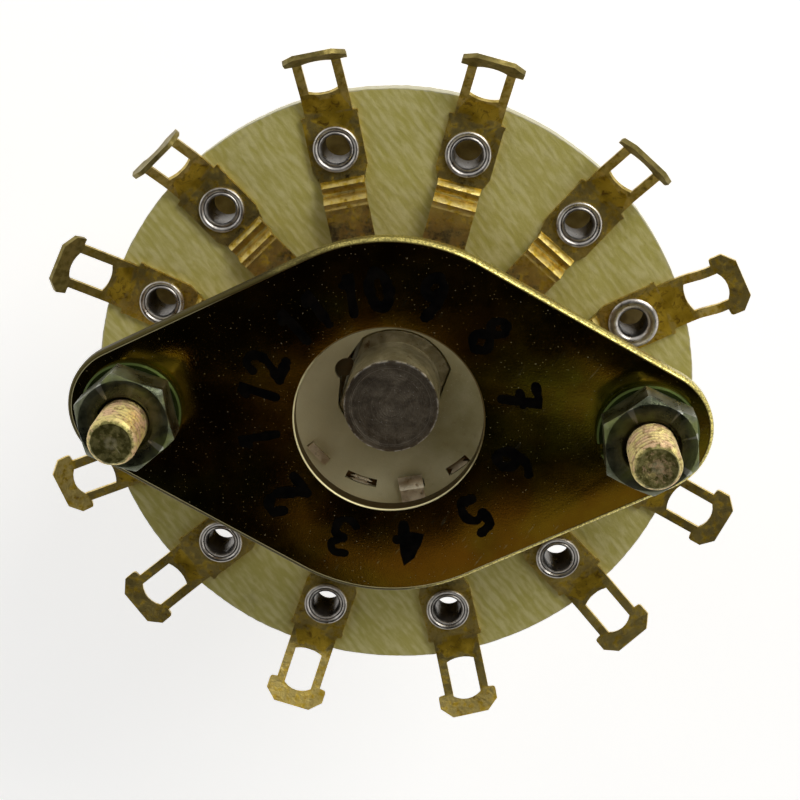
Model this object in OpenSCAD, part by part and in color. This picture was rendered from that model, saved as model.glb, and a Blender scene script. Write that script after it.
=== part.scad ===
// Rotary selector switch with one wafer, seen from behind the panel.
// Axis of the shaft = Z, rear = +Z, z = 0 is the face that bears on the panel.
// The two tie screws lie on the X axis.

/* [Wafer] */
// Diameter of the glass-fibre wafer
wafer_d = 38.5; // [38:0.5:42]
// Thickness of the wafer
wafer_t = 1.5; // [1:0.1:2.5]
// Radius of the circle that the eyelets stand on
eyelet_circle_r = 15.9; // [15.5:0.1:16.5]

/* [Plates and screws] */
// Distance between the two tie screws
screw_spacing = 31.5; // [30:0.5:33]
// Thickness of the front and rear plates
plate_t = 1.2; // [0.8:0.1:2]
// Radius of the round middle of the rear plate
plate_mid_r = 11.35; // [10.5:0.05:12]
// Radius of the round middle of the front plate, housing and cover
front_mid_r = 17; // [15:0.1:18]
// Radius of the round ends of the plates
plate_end_r = 4.05; // [3.8:0.05:4.5]
// Diameter of the window in the rear plate
window_d = 11.6; // [10:0.1:13]
// Length of the four spacer sleeves
spacer_len = 6; // [5:0.5:12]
// How far the tie screws stand out of their nuts
screw_proud = 3.6; // [1:0.1:6]

/* [Shaft] */
// Diameter of the shaft
shaft_d = 6; // [6:0.05:6.3]
// Diameter of the thick part that drives the rotor
drive_d = 7.8; // [7.2:0.1:8.2]
// Length of the shaft in front of the panel face
shaft_front = 20; // [15:1:40]
// How far the shaft stands out of the wafer's rear face
shaft_rear = 4.5; // [2:0.1:6]
// Angle of the drive flats about the shaft
flat_turn = -18; // [-90:1:90]

/* [Index mechanism] */
// Diameter of the detent balls
ball_d = 3; // [2.6:0.1:3]
// Depth that a ball drops into a notch of the detent wheel
ball_drop = 0.6; // [0.4:0.05:0.6]
// Height of the index housing
housing_h = 6.6; // [6.6:0.1:9]

/* [Panel fixing] */
// Thread diameter of the bushing
thread_d = 10; // [9:0.5:11]
// Length of the bushing in front of the panel face
bushing_len = 9; // [7:0.5:14]
// Room left for the panel under the washer
panel_gap = 2; // [1:0.5:3]

/* [Contacts] */
// Thickness of the contact strip
strip_t = 0.3; // [0.2:0.05:0.35]
// Width of the strip around its eyelet
strip_w = 3.5; // [3:0.1:3.6]
// Bend of each soldering tail away from the wafer, contacts 1 to 12
tail_bend = [0, 5, 26, 18, 20, 12, 18, 29, 30, 26, 35, 10];
// Further fold of each hammer head, contacts 1 to 12
head_fold = [23, 8, 0, 10, 0, 0, -12, 44, 32, 43, 67, 38];

// Turn of each strip about its eyelet, away from the radial line, contacts 1 to 12
strip_turn = [5, -4, -2, 0, 1, -6, 9, 5, 2, -2, 1, -4];

/* [Hidden] */
$fn = 64;

cut = 0.1;
pitch = 30;
positions = 12;
screw_x = screw_spacing / 2;

// Heights of the stack, from the panel face to the rear
housing_z = plate_t;
cover_t = 1;
cover_z = housing_z + housing_h;
front_spacer_z = cover_z + cover_t;
wafer_z = front_spacer_z + spacer_len;
wafer_top = wafer_z + wafer_t;
rear_plate_z = wafer_top + spacer_len;
washer_t = 0.7;
washer_z = rear_plate_z + plate_t;
nut_h = 2.4;
nut_z = washer_z + washer_t;
screw_end = nut_z + nut_h + screw_proud;

// M3 hardware
screw_r = 1.5;
screw_hole_r = 1.6;
head_r = 2.6;
head_depth = 1.1;
nut_af = 5.5;
washer_r = 3.1;
washer_split = 0.5;
screw_edge = 0.45;
spacer_r = 2.75;

// Shaft and bearings
shaft_r = shaft_d / 2;
drive_r = drive_d / 2;
drive_flats = 6;
running_gap = 0.05;
seat_gap = 0.08;
flange_t = 1;
flange_r = 6.4;
spigot_r = thread_d / 2 - 0.2;
lead = 0.6;
drive_z = housing_z + flange_t + 0.2;
drive_end = wafer_top + 0.1;
shaft_end = wafer_top + shaft_rear;
groove_r = 2.4;
clip_t = 0.6;
clip_r = 4.6;

// Index mechanism
ball_r = ball_d / 2;
ball_z = housing_z + housing_h / 2;
wheel_r = 9.6;
wheel_h = 3;
crest_gap = 0.05;
ball_y = wheel_r + crest_gap + ball_r;
notch_r = ball_r + 0.2;
notch_x = ball_y - ball_drop + 0.05;
cavity_r = wheel_r + 0.5;
pocket_r = ball_r + 0.1;
pocket_end = front_mid_r - 2;
arm_h = 1;
arm_half = 12;
stop_half = 17.5;
stop_r = 7.4;
wire_r = 0.175;
coil_r = ball_r - 0.35;
coil_turns = 5;

// Rotor
rotor_r = 8.4;
rotor_gap = 0.2;
rotor_t = wafer_t + 0.5;
rotor_z = wafer_z - 0.3;
rotor_top = rotor_z + rotor_t;
blade_t = 0.3;
blade_in = 7.5;
blade_out = 9.3;
tongue_r = 11.3;
tongue_w = 3;
tongue_angle = 345;
tab_w = 1.4;
tab_in = 6.5;
tab_angles = [224.5, 253, 281.5, 310, 45, 135];

// Contacts
tail_w = 3;
slot_w = 1.85;
rail_bend_r = 18.8;
slot_start = 0.75;
slot_len = 2.9;
head_w = 3.9;
head_len = 1.05;
head_corner = 0.7;
fold_at = slot_start + slot_len - 0.5;
finger_w = 2.75;
finger_end = 9.6;
common_end = 8.2;
step_r = 12.2;
finger_z = rotor_top + blade_t + 0.1;
side_shift = 3.5;
eyelet_bore = 0.88;
eyelet_tube = 1.1;
eyelet_rim = 1.45;
rim_t = 0.4;

// Place of the eyelet of contact n: those beside the screws are moved away from them
function plain_angle(n) = 195 + pitch * (n - 1);
function side_of(n) = (n == 1 || n == 7) ? 1 : (n == 6 || n == 12) ? -1 : 0;
function eyelet_angle(n) = plain_angle(n) + side_of(n) * side_shift;

// Rounded lozenge of a plate, exact arcs joined by tangent sides
module lozenge(mid_r, end_r, x) {
  lean = asin((mid_r - end_r) / x);
  mid = [mid_r * sin(lean), mid_r * cos(lean)];
  end = [x + end_r * sin(lean), end_r * cos(lean)];
  circle(mid_r, $fn = 128);
  for (side = [-1, 1]) translate([side * x, 0]) circle(end_r);
  polygon([mid, end, [end.x, -end.y], [mid.x, -mid.y],
    [-mid.x, -mid.y], [-end.x, -end.y], [-end.x, end.y], [-mid.x, mid.y]]);
}

// Sector of a ring about Z between two radii, centred on an angle
module sector(r_in, r_out, half, angle) {
  far = 2 * r_out;
  rotate(angle) intersection() {
    difference() {
      circle(r_out);
      circle(r_in);
    }
    polygon([[0, 0], [far * cos(half), -far * sin(half)], [far * cos(half), far * sin(half)]]);
  }
}

// Round bar with two flats, as the thick part of the shaft has
module drive_section(gap) {
  rotate(flat_turn) intersection() {
    circle(drive_r + gap);
    square([drive_flats + 2 * gap, 3 * drive_r], center = true);
  }
}

// Hexagon nut with chamfered corners on top, and below as well if both is true
module hex_nut(af, h, bore_r, both) {
  corner_r = af / sqrt(3);
  slope_h = 0.6 * (corner_r - af / 2);
  low_h = both ? slope_h : 0;
  low_r = both ? af / 2 : corner_r;
  difference() {
    intersection() {
      cylinder(h = h, r = corner_r, $fn = 6);
      rotate_extrude() polygon([[0, 0], [low_r, 0], [corner_r + 0.01, low_h],
        [corner_r + 0.01, h - slope_h], [af / 2, h], [0, h]]);
    }
    translate([0, 0, -cut]) cylinder(h = h + 2 * cut, r = bore_r);
  }
}

module screw_holes(r, z, h) {
  for (side = [-1, 1]) translate([side * screw_x, 0, z]) cylinder(h = h, r = r);
}

module sleeve(side, z) {
  translate([side * screw_x, 0, z]) difference() {
    cylinder(h = spacer_len, r = spacer_r);
    translate([0, 0, -cut]) cylinder(h = spacer_len + 2 * cut, r = screw_hole_r);
  }
}

module front_plate() color("darkkhaki") {
  tab_w = 3;
  tab_h = 2.2;
  difference() {
    linear_extrude(plate_t) lozenge(front_mid_r, plate_end_r, screw_x);
    translate([0, 0, -cut]) cylinder(h = plate_t + 2 * cut, r = spigot_r);
    for (side = [-1, 1]) translate([side * screw_x, 0, 0]) {
      cylinder(h = head_depth, r1 = head_r + cut, r2 = screw_hole_r);
      cylinder(h = plate_t + cut, r = screw_hole_r);
    }
  }
  // locating tab, turned forward to stop the switch from turning in the panel
  translate([-tab_w / 2, 0.1 - front_mid_r, -tab_h]) cube([tab_w, plate_t, tab_h + cut]);
}

module bushing() color("silver") difference() {
  union() {
    translate([0, 0, -bushing_len + lead]) cylinder(h = bushing_len - lead, r = thread_d / 2);
    translate([0, 0, -cut]) cylinder(h = plate_t + 2 * cut, r = spigot_r);
    translate([0, 0, -bushing_len]) cylinder(h = lead, r1 = thread_d / 2 - lead, r2 = thread_d / 2);
    translate([0, 0, plate_t]) cylinder(h = flange_t, r = flange_r);
  }
  translate([0, 0, -bushing_len - cut])
    cylinder(h = bushing_len + plate_t + flange_t + 2 * cut, r = shaft_r + running_gap);
}

module panel_washer() color("gainsboro") {
  thick = 0.8;
  outer = 7.5;
  inner = thread_d / 2 + 0.1;
  translate([0, 0, -panel_gap - thick]) difference() {
    cylinder(h = thick, r = outer);
    translate([0, 0, -cut]) cylinder(h = thick + 2 * cut, r = inner);
    for (i = [0 : positions - 1]) rotate(i * pitch + 15)
      translate([inner, -0.4, -cut]) cube([0.9, 0.8, thick + 2 * cut]);
  }
}

module panel_nut() color("silver") {
  thick = 2.5;
  washer = 0.8;
  translate([0, 0, -panel_gap - washer - thick])
    hex_nut(14, thick, thread_d / 2 + 0.03, true);
}

// Moulded housing; the fixed stop in its rear layer meets the arm of the detent wheel
module index_housing() color("dimgray") difference() {
  stop_z = ball_z + wheel_h / 2 + 0.15;
  translate([0, 0, housing_z]) linear_extrude(housing_h)
    lozenge(front_mid_r - 0.3, plate_end_r - 0.15, screw_x);
  translate([0, 0, housing_z - cut]) cylinder(h = flange_t + 2 * cut, r = flange_r + 0.1);
  translate([0, 0, housing_z + flange_t])
    cylinder(h = stop_z - housing_z - flange_t, r = cavity_r);
  translate([0, 0, stop_z - cut]) linear_extrude(housing_h) difference() {
    circle(cavity_r);
    sector(stop_r, cavity_r + 1, stop_half, 180);
  }
  for (side = [-1, 1]) translate([0, side * (cavity_r - 1), ball_z]) rotate([-side * 90, 0, 0])
    cylinder(h = pocket_end - cavity_r + 1, r = pocket_r);
  screw_holes(screw_hole_r, housing_z - cut, housing_h + 2 * cut);
}

module detent_wheel() color("tan") {
  low = ball_z - wheel_h / 2;
  difference() {
    union() {
      translate([0, 0, low]) cylinder(h = wheel_h, r = wheel_r);
      translate([0, 0, low + wheel_h - cut]) linear_extrude(arm_h + cut)
        sector(2, wheel_r - 0.2, arm_half, 0);
      translate([0, 0, low + wheel_h - cut]) cylinder(h = arm_h + cut, r = 5);
    }
    for (i = [0 : positions - 1]) rotate(i * pitch) translate([notch_x, 0, low - cut])
      cylinder(h = wheel_h + arm_h + 2 * cut, r = notch_r);
    translate([0, 0, low - cut]) linear_extrude(wheel_h + arm_h + 2 * cut)
      drive_section(seat_gap);
  }
}

module detent_ball(side) color("lightgray") {
  translate([0, side * ball_y, ball_z]) sphere(ball_r);
}

// Compression spring between the ball and the end of its pocket
function coil_point(t, a, len) = let (turn = 360 * coil_turns * t)
  [wire_r + (len - 2 * wire_r) * t + wire_r * cos(a) * 0.99,
   (coil_r + wire_r * sin(a)) * cos(turn), (coil_r + wire_r * sin(a)) * sin(turn)];

module coil(len) {
  sides = 8;
  rings = coil_turns * 18;
  points = [for (i = [0 : rings]) for (j = [0 : sides - 1]) coil_point(i / rings, j * 360 / sides, len)];
  around = [for (i = [0 : rings - 1]) for (j = [0 : sides - 1]) let (k = (j + 1) % sides)
    [i * sides + j, i * sides + k, (i + 1) * sides + k, (i + 1) * sides + j]];
  first = [for (j = [0 : sides - 1]) sides - 1 - j];
  last = [for (j = [0 : sides - 1]) rings * sides + j];
  polyhedron(points, concat(around, [first, last]), convexity = 10);
}

module detent_spring(side) color("silver") {
  start = ball_y + ball_r + 0.02;
  rotate(side * 90) translate([start, 0, ball_z]) coil(pocket_end - start);
}

module cover_plate() color("darkkhaki") difference() {
  translate([0, 0, cover_z]) linear_extrude(cover_t) lozenge(front_mid_r, plate_end_r, screw_x);
  translate([0, 0, cover_z - cut]) cylinder(h = cover_t + 2 * cut, r = drive_r + running_gap);
  screw_holes(screw_hole_r, cover_z - cut, cover_t + 2 * cut);
}

module shaft() color("dimgray") {
  edge = 0.3;
  difference() {
    union() {
      translate([0, 0, -shaft_front]) cylinder(h = edge, r1 = shaft_r - edge, r2 = shaft_r);
      translate([0, 0, -shaft_front + edge])
        cylinder(h = shaft_front + shaft_end - 2 * edge, r = shaft_r);
      translate([0, 0, shaft_end - edge]) cylinder(h = edge, r1 = shaft_r, r2 = shaft_r - edge);
      translate([0, 0, drive_z]) linear_extrude(drive_end - drive_z) drive_section(0);
    }
    translate([0, 0, -bushing_len - 0.7]) difference() {
      cylinder(h = clip_t + 0.1, r = shaft_r + cut);
      cylinder(h = clip_t + 0.1, r = groove_r);
    }
  }
}

module shaft_clip() color("silver") translate([0, 0, -bushing_len - 0.65]) difference() {
  cylinder(h = clip_t, r = clip_r);
  translate([0, 0, -cut]) cylinder(h = clip_t + 2 * cut, r = groove_r + 0.03);
  translate([0, -1.9, -cut]) cube([clip_r + 1, 3.8, clip_t + 2 * cut]);
}

module tie_screw(side) color("peru") {
  slot = 0.7;
  translate([side * screw_x, 0, 0]) difference() {
    union() {
      cylinder(h = head_depth, r1 = head_r, r2 = screw_r);
      cylinder(h = screw_end - screw_edge, r = screw_r);
      translate([0, 0, screw_end - screw_edge])
        cylinder(h = screw_edge, r1 = screw_r, r2 = screw_r - screw_edge);
    }
    translate([-head_r - cut, -slot / 2, -cut]) cube([2 * head_r + 2 * cut, slot, 0.6 + cut]);
  }
}

module wafer() color("khaki") difference() {
  translate([0, 0, wafer_z]) cylinder(h = wafer_t, r = wafer_d / 2, $fn = 128);
  translate([0, 0, wafer_z - cut]) cylinder(h = wafer_t + 2 * cut, r = rotor_r + rotor_gap, $fn = 96);
  screw_holes(screw_hole_r, wafer_z - cut, wafer_t + 2 * cut);
  for (n = [1 : positions]) rotate(eyelet_angle(n))
    translate([eyelet_circle_r, 0, wafer_z - cut]) cylinder(h = wafer_t + 2 * cut, r = eyelet_tube);
}

// One eyelet: a tube through wafer and strip with a rolled rim at each end
module eyelet() {
  top = wafer_t + strip_t;
  rotate_extrude() {
    translate([eyelet_bore, -rim_t]) square([eyelet_tube - eyelet_bore, top + 2 * rim_t - 0.1]);
    translate([eyelet_bore, -rim_t]) square([eyelet_rim - eyelet_bore, rim_t]);
    translate([eyelet_bore, top]) square([eyelet_rim - eyelet_bore - 0.15, rim_t - 0.05]);
    translate([eyelet_rim - 0.2, top + 0.2]) circle(0.2, $fn = 32);
  }
}

module eyelets() color("silver") {
  for (n = [1 : positions]) rotate(eyelet_angle(n))
    translate([eyelet_circle_r, 0, wafer_z]) eyelet();
}

// Strip lying along X with its eyelet at the origin, wafer face at z = 0
module strip_base(w) {
  inner = step_r - eyelet_circle_r;
  outer = rail_bend_r - eyelet_circle_r;
  linear_extrude(strip_t) difference() {
    union() {
      translate([-2, -w / 2]) square([4, w]);
      translate([inner, -finger_w / 2]) square([1.9, finger_w]);
      translate([1.8, -tail_w / 2]) square([outer - 1.8 + 0.1, tail_w]);
      translate([1.9, -w / 2 - 0.1]) square([0.25, w + 0.2]);
    }
    circle(eyelet_tube);
  }
}

// Finger raised above the rotor blade, with the step that leads up to it
module strip_finger(end_r) {
  rise = finger_z - wafer_top;
  inner = step_r - eyelet_circle_r;
  tip = end_r - eyelet_circle_r;
  translate([inner - 0.3, -finger_w / 2, 0]) cube([strip_t, finger_w, rise + strip_t]);
  translate([inner - 0.3, -finger_w / 2, 0]) cube([0.4, finger_w, strip_t]);
  translate([0, 0, rise]) linear_extrude(strip_t) {
    translate([tip + 0.5, -finger_w / 2]) square([inner - tip - 0.5, finger_w]);
    translate([tip, -finger_w / 2 + 0.5]) square([1, finger_w - 1]);
    for (side = [-1, 1]) translate([tip + 0.5, side * (finger_w / 2 - 0.5)]) circle(0.5);
  }
}

// Outline of the tail beyond the bend, cut into rails and head by the fold
module tail_outline() {
  end = slot_start + slot_len;
  tip = end + head_len;
  difference() {
    union() {
      translate([-0.1, -tail_w / 2]) square([end + 0.2, tail_w]);
      polygon([[fold_at + 0.05, -head_w / 2], [tip - head_corner, -head_w / 2],
        [tip, head_corner - head_w / 2], [tip, head_w / 2 - head_corner],
        [tip - head_corner, head_w / 2], [fold_at + 0.05, head_w / 2]]);
    }
    translate([slot_start + 0.4, -slot_w / 2]) square([slot_len - 0.8, slot_w]);
    for (x = [slot_start + 1, end - 1]) intersection() {
      translate([slot_start, -slot_w / 2]) square([slot_len, slot_w]);
      translate([x, 0]) circle(1);
    }
  }
}

module strip_tail(bend, fold) {
  big = 10;
  translate([rail_bend_r - eyelet_circle_r, 0, 0]) rotate([0, -bend, 0]) {
    linear_extrude(strip_t) intersection() {
      tail_outline();
      translate([-1, -big / 2]) square([fold_at + 1.05, big]);
    }
    translate([fold_at, 0, 0]) rotate([0, -fold, 0]) linear_extrude(strip_t) translate([-fold_at, 0])
      intersection() {
        tail_outline();
        translate([fold_at - 0.05, -big / 2]) square([big, big]);
      }
  }
}

// Contact n; number 12 is the common one and its finger reaches the rotor's ring
module contact(n) color("darkgoldenrod") {
  is_common = n == positions;
  translate([0, 0, wafer_top]) rotate(eyelet_angle(n)) translate([eyelet_circle_r, 0, 0])
    rotate(strip_turn[n - 1]) {
      strip_base(strip_w);
      strip_finger(is_common ? common_end : finger_end);
      strip_tail(tail_bend[n - 1], head_fold[n - 1]);
    }
}

// Insulating disc with the hole for the shaft, slots for the tabs and a marking notch
module rotor_disc() color("ivory") difference() {
  translate([0, 0, rotor_z]) cylinder(h = rotor_t, r = rotor_r, $fn = 96);
  translate([0, 0, rotor_z - cut]) linear_extrude(rotor_t + 2 * cut) drive_section(seat_gap);
  rotate(flat_turn + 180) translate([drive_flats / 2 + 0.25, 0, rotor_top - 1])
    cylinder(h = 1 + cut, r = 0.8);
  for (a = tab_angles) rotate(a) translate([tab_in, -tab_w / 2 - 0.1, rotor_z - cut])
    cube([0.5, tab_w + 0.2, rotor_t + 2 * cut]);
}

// Contact blade on the rear face: ring, tongue and bent tabs in the slots
module rotor_blade() color("goldenrod") {
  translate([0, 0, rotor_top]) linear_extrude(blade_t) {
    difference() {
      circle(blade_out);
      circle(blade_in);
    }
    rotate(tongue_angle) translate([blade_out - 0.3, -tongue_w / 2])
      square([tongue_r - blade_out + 0.3, tongue_w]);
    for (a = tab_angles) rotate(a) translate([tab_in + 0.1, -tab_w / 2])
      square([blade_in - tab_in + 0.2, tab_w]);
  }
  for (a = tab_angles) rotate(a) translate([tab_in + 0.1, -tab_w / 2, rotor_z + 0.2])
    cube([0.3, tab_w, rotor_t]);
}

// Ring on the front face that keeps the rotor in the wafer
module rotor_ring() color("goldenrod") {
  translate([0, 0, rotor_z - blade_t]) linear_extrude(blade_t) difference() {
    circle(blade_out);
    circle(6.2);
  }
}

module rear_plate() color("darkkhaki") difference() {
  translate([0, 0, rear_plate_z]) linear_extrude(plate_t) lozenge(plate_mid_r, plate_end_r, screw_x);
  translate([0, 0, rear_plate_z - cut]) cylinder(h = plate_t + 2 * cut, r = window_d / 2);
  screw_holes(screw_hole_r, rear_plate_z - cut, plate_t + 2 * cut);
}

// Split spring washer
module lock_washer(side, turn) color("olive") translate([side * screw_x, 0, washer_z])
  rotate(turn) difference() {
    cylinder(h = washer_t, r = washer_r);
    translate([0, 0, -cut]) cylinder(h = washer_t + 2 * cut, r = screw_hole_r);
    translate([0, -washer_split / 2, -cut]) cube([washer_r + cut, washer_split, washer_t + 2 * cut]);
  }

module nut(side, turn) color("darkslategray") translate([side * screw_x, 0, nut_z])
  rotate(turn) hex_nut(nut_af, nut_h, screw_r + 0.03, false);

front_plate();
bushing();
panel_washer();
panel_nut();
index_housing();
detent_wheel();
detent_ball(-1);  // detent_ball_lower
detent_ball(1);  // detent_ball_upper
detent_spring(-1);  // detent_spring_lower
detent_spring(1);  // detent_spring_upper
cover_plate();
shaft();
shaft_clip();
tie_screw(-1);  // tie_screw_left
tie_screw(1);  // tie_screw_right
color("silver") sleeve(-1, front_spacer_z);  // front_spacer_left
color("silver") sleeve(1, front_spacer_z);  // front_spacer_right
color("silver") sleeve(-1, wafer_top);  // rear_spacer_left
color("silver") sleeve(1, wafer_top);  // rear_spacer_right
wafer();
eyelets();
contact(1);  // contact_01
contact(2);  // contact_02
contact(3);  // contact_03
contact(4);  // contact_04
contact(5);  // contact_05
contact(6);  // contact_06
contact(7);  // contact_07
contact(8);  // contact_08
contact(9);  // contact_09
contact(10);  // contact_10
contact(11);  // contact_11
contact(12);  // contact_12
rotor_disc();
rotor_blade();
rotor_ring();
rear_plate();
lock_washer(-1, 250);  // lock_washer_left
lock_washer(1, 200);  // lock_washer_right
nut(-1, 43);  // nut_left
nut(1, 37);  // nut_right
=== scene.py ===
import random
from math import acos, asin, atan2, cos, degrees, pi, radians, sin, tan

import bmesh
import bpy
from mathutils import Matrix, Vector, noise


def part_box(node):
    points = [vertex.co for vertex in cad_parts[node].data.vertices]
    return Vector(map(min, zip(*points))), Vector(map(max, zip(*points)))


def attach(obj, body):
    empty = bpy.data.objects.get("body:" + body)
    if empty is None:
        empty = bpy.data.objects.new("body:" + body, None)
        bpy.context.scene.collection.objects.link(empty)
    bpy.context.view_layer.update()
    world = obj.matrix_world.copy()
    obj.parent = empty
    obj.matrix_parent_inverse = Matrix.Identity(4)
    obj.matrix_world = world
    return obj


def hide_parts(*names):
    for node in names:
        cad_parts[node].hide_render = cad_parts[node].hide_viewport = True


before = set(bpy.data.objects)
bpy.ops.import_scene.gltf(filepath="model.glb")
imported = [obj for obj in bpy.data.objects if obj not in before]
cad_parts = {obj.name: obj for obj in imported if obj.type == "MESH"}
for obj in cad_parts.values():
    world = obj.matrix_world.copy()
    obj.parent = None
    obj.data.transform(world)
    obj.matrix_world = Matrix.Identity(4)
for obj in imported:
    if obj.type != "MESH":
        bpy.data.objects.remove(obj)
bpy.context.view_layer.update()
scene = bpy.context.scene

# Lengths in this script are millimetres in the row frame; MM turns them into metres.
MM = 0.001
TAU = 2 * pi


def low(node):
    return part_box(node)[0] / MM


def high(node):
    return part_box(node)[1] / MM


# Heights and radii read from the frame
WAFER_LOW = low("wafer").z
WAFER_TOP = high("wafer").z
WAFER_R = high("wafer").x
PLATE_LOW = low("rear_plate").z
PLATE_TOP = high("rear_plate").z
PLATE_X = high("rear_plate").x
PLATE_Y = high("rear_plate").y
SCREW_X = (low("nut_right").x + high("nut_right").x) / 2
NUT_LOW = low("nut_right").z
NUT_TOP = high("nut_right").z
SCREW_END = high("tie_screw_right").z
ROTOR_LOW = low("rotor_disc").z
ROTOR_TOP = high("rotor_disc").z
ROTOR_R = high("rotor_disc").x
SHAFT_END = high("shaft").z
SHAFT_TIP = low("shaft").z

# Sizes that the frame's boxes don't give
PLATE_END_R = PLATE_X - SCREW_X
SCREW_HOLE_R = 1.6
EYELET_HOLE_R = 1.1
WINDOW_R = 5.8
SCREW_R = 1.5
THREAD_PITCH = 0.5
NUT_AF = 5.5
EYELET_R = 15.9
SHAFT_R = 3.0
DRIVE_R = 3.82
DRIVE_FLAT = 2.98
FLAT_TURN = radians(-18)
STRIP_T = 0.3

CONTACTS = range(1, 13)
# Contact n: turn about its eyelet, bend of the tail, fold of the head, all in degrees
STRIP_TURN = [5, -4, -2, 0, 1, -6, 9, 5, 2, -2, 1, -4]
TAIL_BEND = [0, 5, 26, 18, 20, 12, 18, 29, 30, 26, 35, 10]
HEAD_FOLD = [23, 8, 0, 10, 0, 0, -12, 44, 32, 43, 67, 38]
EYELET_SHIFT = {1: 3.5, 6: -3.5, 7: 3.5, 12: -3.5}


def eyelet_angle(n):
    return radians(195 + 30 * (n - 1) + EYELET_SHIFT.get(n, 0))


def eyelet_centre(n):
    return EYELET_R * cos(eyelet_angle(n)), EYELET_R * sin(eyelet_angle(n))


# ---- Mesh helpers ----

def arc(cx, cy, r, start, end, steps):
    """Points of an arc, angles in degrees, both ends included."""
    angles = [radians(start + (end - start) * i / steps) for i in range(steps + 1)]
    return [(cx + r * cos(a), cy + r * sin(a)) for a in angles]


def circle(cx, cy, r, steps):
    return arc(cx, cy, r, 0, 360, steps)[:-1]


def smooth_path(points):
    """Catmull-Rom curve through the points."""
    steps = 6
    ends = [points[0]] + list(points) + [points[-1]]
    path = []
    for p0, p1, p2, p3 in zip(ends, ends[1:], ends[2:], ends[3:]):
        for i in range(steps):
            t = i / steps
            path.append(tuple(0.5 * (2 * b + (c - a) * t + (2 * a - 5 * b + 4 * c - d) * t * t
                                     + (3 * b - a - 3 * c + d) * t ** 3)
                              for a, b, c, d in zip(p0, p1, p2, p3)))
    return path + [tuple(points[-1])]


def subdivided(points):
    """The points, with each stretch between two of them cut in equal parts."""
    parts = 4
    path = [tuple(Vector(a).lerp(Vector(b), t / parts)) for a, b in zip(points, points[1:])
            for t in range(parts)]
    return path + [points[-1]]


def skin(bm, rings, closed=False):
    """Quads between neighbouring rings of the same count; a ring of one vertex is a point."""
    pairs = list(zip(rings, rings[1:]))
    if closed:
        pairs.append((rings[-1], rings[0]))
    for a, b in pairs:
        count = max(len(a), len(b))
        for i in range(count):
            j = (i + 1) % count
            if len(a) == 1:
                bm.faces.new((a[0], b[j], b[i]))
            elif len(b) == 1:
                bm.faces.new((a[i], a[j], b[0]))
            else:
                bm.faces.new((a[i], a[j], b[j], b[i]))


def polar(bm, r, a, z, centre=(0, 0)):
    return bm.verts.new((centre[0] + r * cos(a), centre[1] + r * sin(a), z))


def ring(bm, radius, z, segments, centre=(0, 0)):
    """Ring of vertices; the radius and the height can be functions of the angle."""
    if not callable(radius) and radius == 0:
        return [bm.verts.new((centre[0], centre[1], z))]
    verts = []
    for i in range(segments):
        a = TAU * i / segments
        r = radius(a) if callable(radius) else radius
        h = z(a) if callable(z) else z
        verts.append(polar(bm, r, a, h, centre))
    return verts


def lathe(bm, profile, segments, centre=(0, 0), closed=False):
    skin(bm, [ring(bm, r, z, segments, centre) for r, z in profile], closed)


def looped(items):
    """Each item with the next one, and the last with the first."""
    return zip(items, items[1:] + items[:1])


def fill_flat(bm, edges):
    bmesh.ops.triangle_fill(bm, use_beauty=True, use_dissolve=False, edges=edges)


def face_out(bm):
    bmesh.ops.recalc_face_normals(bm, faces=bm.faces)


def fill(bm, loops):
    """Flat face with holes between closed loops of (x, y) points."""
    edges = []
    for loop in loops:
        verts = [bm.verts.new((x, y, 0)) for x, y in loop]
        edges += [bm.edges.new(pair) for pair in looped(verts)]
    fill_flat(bm, edges)
    face_out(bm)
    if sum(f.normal.z for f in bm.faces) < 0:
        bmesh.ops.reverse_faces(bm, faces=bm.faces)


def counterclockwise(loop):
    area = sum(x0 * y1 - x1 * y0 for (x0, y0), (x1, y1) in looped(loop))
    return loop if area > 0 else loop[::-1]


def moved_in(loop, distance):
    """The loop moved by a distance to its left side, corners mitred."""
    points = [Vector(p) for p in loop]
    moved = []
    for before, here, after in zip(points[-1:] + points[:-1], points, points[1:] + points[:1]):
        a = (here - before).normalized()
        b = (after - here).normalized()
        side = (a + b).normalized()
        out = Vector((-side.y, side.x))
        mitre = max(0.5, out.dot(Vector((-a.y, a.x))))
        moved.append(here + out * distance / mitre)
    return moved


def cut_sheet(loops, z_low, z_top, edges):
    """A part stamped from sheet; edges are the rounding radii of the outline and the holes."""
    bm = bmesh.new()
    steps = 5
    flats = [[], []]
    rim_layer = bm.verts.layers.float.new("rim")
    for k, loop in enumerate(loops):
        edge = edges[min(k, len(edges) - 1)]
        loop = counterclockwise(loop)
        way = 1 if k == 0 else -1
        rings = []
        for half in (0, 1):
            for i in range(steps + 1):
                t = pi / 2 * (i if half else steps - i) / steps
                z = z_top - edge + edge * sin(t) if half else z_low + edge - edge * sin(t)
                shape = moved_in(loop, way * edge * (1 - cos(t)))
                rings.append([bm.verts.new((x, y, z)) for x, y in shape])
        skin(bm, rings)
        for v in sum(rings[1:-1], []):
            v[rim_layer] = 1 if k == 0 else 0.5
        flats[0].append(rings[0])
        flats[1].append(rings[-1])
    for side in flats:
        fill_flat(bm, [bm.edges.get(pair) for rim in side for pair in looped(rim)])
    face_out(bm)
    return bm


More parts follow.
